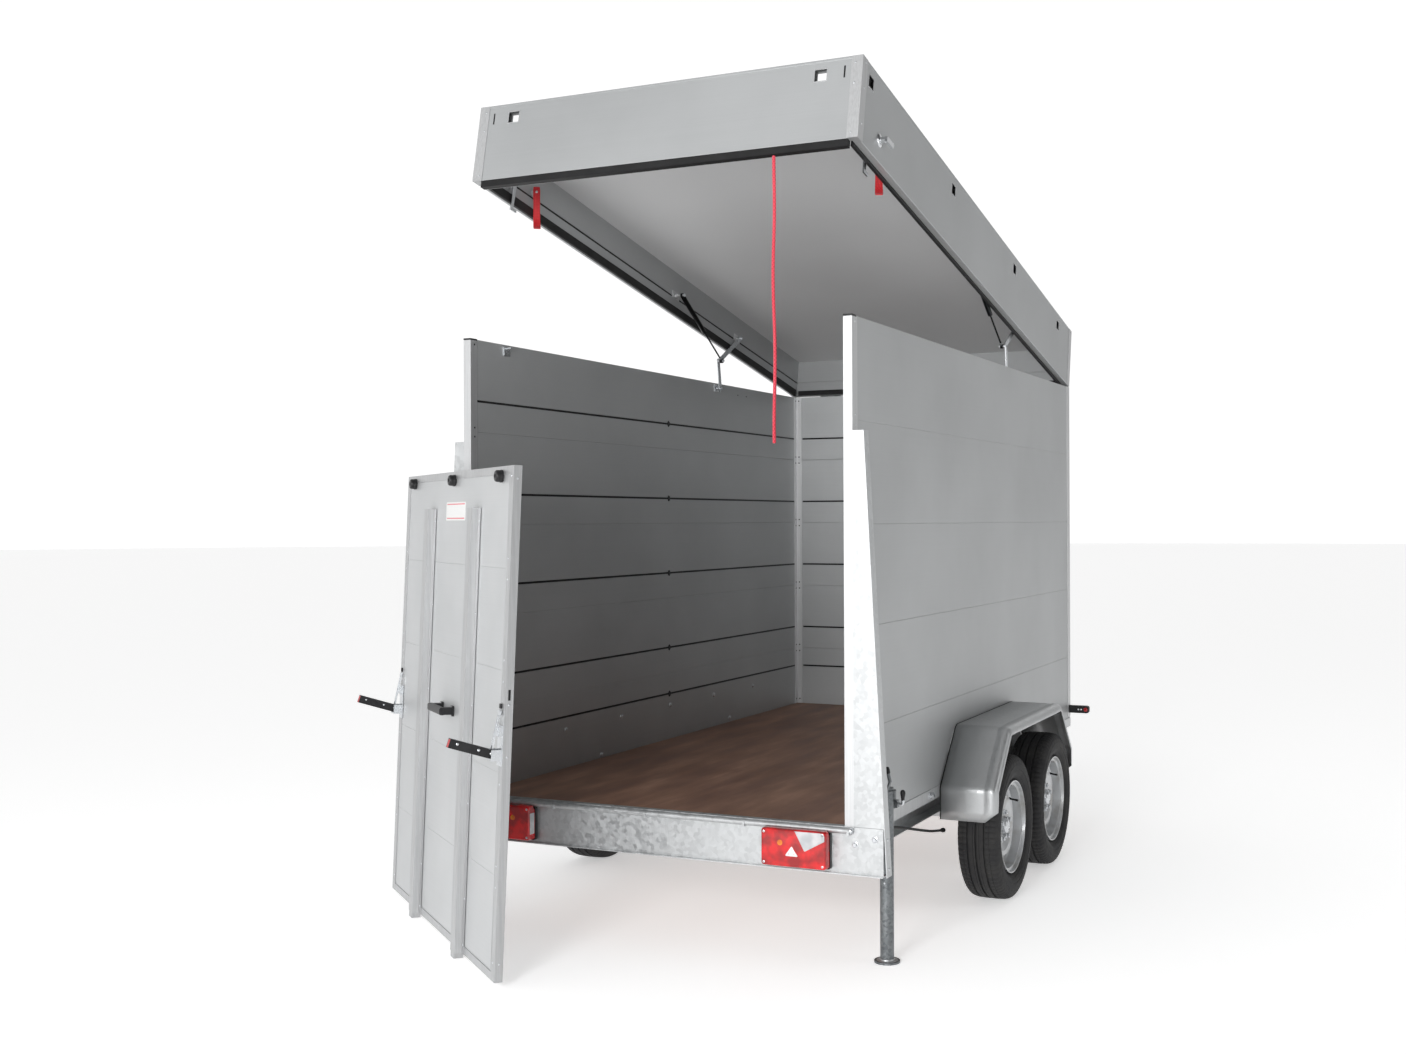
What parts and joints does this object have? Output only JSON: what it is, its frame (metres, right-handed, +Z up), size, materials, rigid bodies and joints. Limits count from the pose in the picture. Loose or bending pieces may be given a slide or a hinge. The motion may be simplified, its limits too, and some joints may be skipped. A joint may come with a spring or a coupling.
{
  "type": "livestock trailer",
  "caption": "Tandem-axle livestock box trailer with high aluminium board walls, raised hinged lid on stays, and a lift-off tailgate leaning on its rear corner.",
  "frame": {"origin": "centre of the tow ball in the coupling's socket", "axes": "+Y forwards to the towing vehicle along the trailer, +X to the right, +Z up"},
  "size_m": [2.4429, 5.1464, 3.1034],
  "materials": {
    "board": "mill-finish extruded aluminium boards",
    "profile": "bright anodised aluminium profile",
    "galvanised": "hot-dip galvanised steel",
    "steel_dark": "weathered galvanised tube",
    "zinc": "bright zinc-plated steel",
    "deck": "film-faced phenolic plywood",
    "roof": "coated aluminium sheet",
    "fender": "silver satin mudguard",
    "rim": "silver painted pressed steel",
    "tyre": "moulded tyre rubber",
    "rubber": "moulded black rubber",
    "black_plastic": "moulded black plastic",
    "red_lens": "red lamp lens",
    "red_plastic": "red moulded strap",
    "red_cord": "braided pull cord",
    "casting": "zinc-coated casting"
  },
  "bodies": {
    "trailer": {"floor_panel": "deck", "side_wall_right": "board", "side_wall_left": "board", "front_wall": "board", "corner_posts": "profile", "post_gussets": "galvanised", "rear_beam": "galvanised", "chassis_frame": "galvanised", "base_rails": "galvanised", "sill_hinge_rod": "galvanised", "rear_lamp_bodies": "black_plastic", "rear_lamp_lenses": "red_lens", "marker_lamp_arms": "rubber", "mudguards": "fender", "wall_fittings": "zinc", "wiring_loom": "rubber", "axle_beams": "galvanised", "prop_clamps": "zinc", "overrun_housing": "casting", "jockey_tube": "zinc"},
    "lid": {"lid_boards": "board", "lid_roof": "roof", "lid_corners": "profile", "lid_seal": "rubber", "lid_straps": "red_plastic", "pull_cord": "red_cord"},
    "lid_latches": {"lid_latches": "zinc"},
    "stay_lower_arms": {"stay_lower_arms": "zinc"},
    "stay_upper_arms": {"stay_upper_arms": "zinc"},
    "gas_strut_tubes": {"gas_strut_tubes": "black_plastic"},
    "gas_strut_rods": {"gas_strut_rods": "steel_dark"},
    "tailgate": {"tailgate_panel": "board", "tailgate_frame": "profile", "tailgate_ribs": "profile", "tailgate_bumpers": "rubber", "tailgate_grab_handle": "black_plastic", "tailgate_fittings": "zinc"},
    "tailgate_latch_near": {"tailgate_latch_near": "black_plastic"},
    "tailgate_latch_far": {"tailgate_latch_far": "black_plastic"},
    "coupling": {"coupling_head": "casting", "shaft_gaiter": "rubber"},
    "coupling_handle": {"coupling_handle": "black_plastic"},
    "handbrake_lever": {"handbrake_lever": "zinc"},
    "jockey_stem": {"jockey_stem": "zinc"},
    "jockey_wheel": {"jockey_wheel": "rubber"},
    "jockey_crank": {"jockey_crank": "zinc"},
    "swing_arms_rear": {"swing_arms_rear": "casting"},
    "wheel_rear_left": {"wheel_rim_rear_left": "rim", "tyre_rear_left": "tyre"},
    "wheel_rear_right": {"wheel_rim_rear_right": "rim", "tyre_rear_right": "tyre"},
    "swing_arms_front": {"swing_arms_front": "casting"},
    "wheel_front_left": {"wheel_rim_front_left": "rim", "tyre_front_left": "tyre"},
    "wheel_front_right": {"wheel_rim_front_right": "rim", "tyre_front_right": "tyre"},
    "prop_stand_right": {"prop_stand_right": "steel_dark"},
    "prop_crank_right": {"prop_crank_right": "black_plastic"},
    "prop_stand_left": {"prop_stand_left": "steel_dark"},
    "prop_crank_left": {"prop_crank_left": "black_plastic"}
  },
  "joints": [
    {"name": "suspension_rear", "type": "hinge", "parent": "trailer", "child": "swing_arms_rear", "pos_m": [0, -3.04924, -0.112], "axis": [-1, 0, 0], "range_deg": [-8, 20], "stiffness_Nm_per_rad": 3154, "springref_deg": -6.53},
    {"name": "wheel_spin_rear_left", "type": "hinge", "parent": "swing_arms_rear", "child": "wheel_rear_left", "pos_m": [-0.927, -3.196, -0.143], "axis": [1, 0, 0], "continuous": true},
    {"name": "wheel_spin_rear_right", "type": "hinge", "parent": "swing_arms_rear", "child": "wheel_rear_right", "pos_m": [0.927, -3.196, -0.143], "axis": [1, 0, 0], "continuous": true},
    {"name": "suspension_front", "type": "hinge", "parent": "trailer", "child": "swing_arms_front", "pos_m": [0, -2.38924, -0.112], "axis": [-1, 0, 0], "range_deg": [-8, 20], "stiffness_Nm_per_rad": 3154, "springref_deg": -6.53},
    {"name": "wheel_spin_front_left", "type": "hinge", "parent": "swing_arms_front", "child": "wheel_front_left", "pos_m": [-0.927, -2.536, -0.143], "axis": [1, 0, 0], "continuous": true},
    {"name": "wheel_spin_front_right", "type": "hinge", "parent": "swing_arms_front", "child": "wheel_front_right", "pos_m": [0.927, -2.536, -0.143], "axis": [1, 0, 0], "continuous": true},
    {"name": "prop_lift_right", "type": "slide", "parent": "trailer", "child": "prop_stand_right", "axis": [0, 0, 1], "range_m": [0, 0.3]},
    {"name": "prop_clamp_right", "type": "hinge", "parent": "trailer", "child": "prop_crank_right", "pos_m": [0.872, -4.208, 0.116], "axis": [1, 0, 0], "range_deg": [-90, 90]},
    {"name": "prop_lift_left", "type": "slide", "parent": "trailer", "child": "prop_stand_left", "axis": [0, 0, 1], "range_m": [0, 0.3]},
    {"name": "prop_clamp_left", "type": "hinge", "parent": "trailer", "child": "prop_crank_left", "pos_m": [-0.872, -4.208, 0.116], "axis": [1, 0, 0], "range_deg": [-90, 90]},
    {"name": "lid_hinge", "type": "hinge", "parent": "trailer", "child": "lid", "pos_m": [0, -1.326, 1.7755], "axis": [-1, 0, 0], "range_deg": [-11.3, 0]},
    {"name": "lid_latch_turn", "type": "hinge", "parent": "lid", "child": "lid_latches", "pos_m": [0, -4.12616, 2.41406], "axis": [1, 0, 0], "range_deg": [-78, 12]},
    {"name": "stay_lower_turn", "type": "hinge", "parent": "trailer", "child": "stay_lower_arms", "pos_m": [0, -2.34, 1.749], "axis": [-1, 0, 0], "range_deg": [-33.18, 0]},
    {"name": "stay_upper_turn", "type": "hinge", "parent": "lid", "child": "stay_upper_arms", "pos_m": [0, -2.11904, 2.02217], "axis": [-1, 0, 0], "range_deg": [0, 38.49]},
    {"name": "gas_strut_turn", "type": "hinge", "parent": "lid", "child": "gas_strut_tubes", "pos_m": [0, -2.77703, 2.15366], "axis": [-1, 0, 0], "range_deg": [-19.95, 0]},
    {"name": "gas_strut_stroke", "type": "slide", "parent": "gas_strut_tubes", "child": "gas_strut_rods", "axis": [0, 0.8376, -0.5462], "range_m": [-0.10418, 0]},
    {"name": "tailgate_lift_off", "type": "slide", "parent": "trailer", "child": "tailgate", "axis": [-0.6184, -0.7859, 0], "range_m": [0, 0.4]},
    {"name": "tailgate_latch_turn_near", "type": "hinge", "parent": "tailgate", "child": "tailgate_latch_near", "pos_m": [-0.25336, -4.97359, 0.32542], "axis": [-0.7859, 0.6184, 0], "range_deg": [-104, 20]},
    {"name": "tailgate_latch_turn_far", "type": "hinge", "parent": "tailgate", "child": "tailgate_latch_far", "pos_m": [-1.32684, -4.12885, 0.32542], "axis": [-0.7859, 0.6184, 0], "range_deg": [-104, 20]},
    {"name": "overrun_slide", "type": "slide", "parent": "trailer", "child": "coupling", "axis": [0, 1, 0], "range_m": [-0.055, 0], "stiffness_N_per_m": 3000, "springref_m": 0.05},
    {"name": "coupling_handle_lift", "type": "hinge", "parent": "coupling", "child": "coupling_handle", "pos_m": [0, -0.102, 0.042], "axis": [1, 0, 0], "range_deg": [0, 40]},
    {"name": "handbrake_pull", "type": "hinge", "parent": "trailer", "child": "handbrake_lever", "pos_m": [0, -0.505, 0.062], "axis": [1, 0, 0], "range_deg": [0, 60]},
    {"name": "jockey_lift", "type": "slide", "parent": "trailer", "child": "jockey_stem", "axis": [0, 0, 1], "range_m": [-0.05, 0.07]},
    {"name": "jockey_wheel_spin", "type": "hinge", "parent": "jockey_stem", "child": "jockey_wheel", "pos_m": [-0.118, -0.405, -0.33], "axis": [1, 0, 0], "continuous": true},
    {"name": "jockey_crank_turn", "type": "hinge", "parent": "trailer", "child": "jockey_crank", "pos_m": [-0.118, -0.36, 0.215], "axis": [0, 0, 1], "range_deg": [-2251, 3151]}
  ],
  "couplings": [
    {"joint": "stay_lower_turn", "follows": "lid_hinge", "ratio": 2.9341},
    {"joint": "stay_upper_turn", "follows": "lid_hinge", "ratio": -3.4049},
    {"joint": "gas_strut_turn", "follows": "lid_hinge", "ratio": 1.7636},
    {"joint": "gas_strut_stroke", "follows": "lid_hinge", "m_per_rad": 0.52721},
    {"joint": "jockey_crank_turn", "follows": "jockey_lift", "rad_per_m": 785.4}
  ]
}
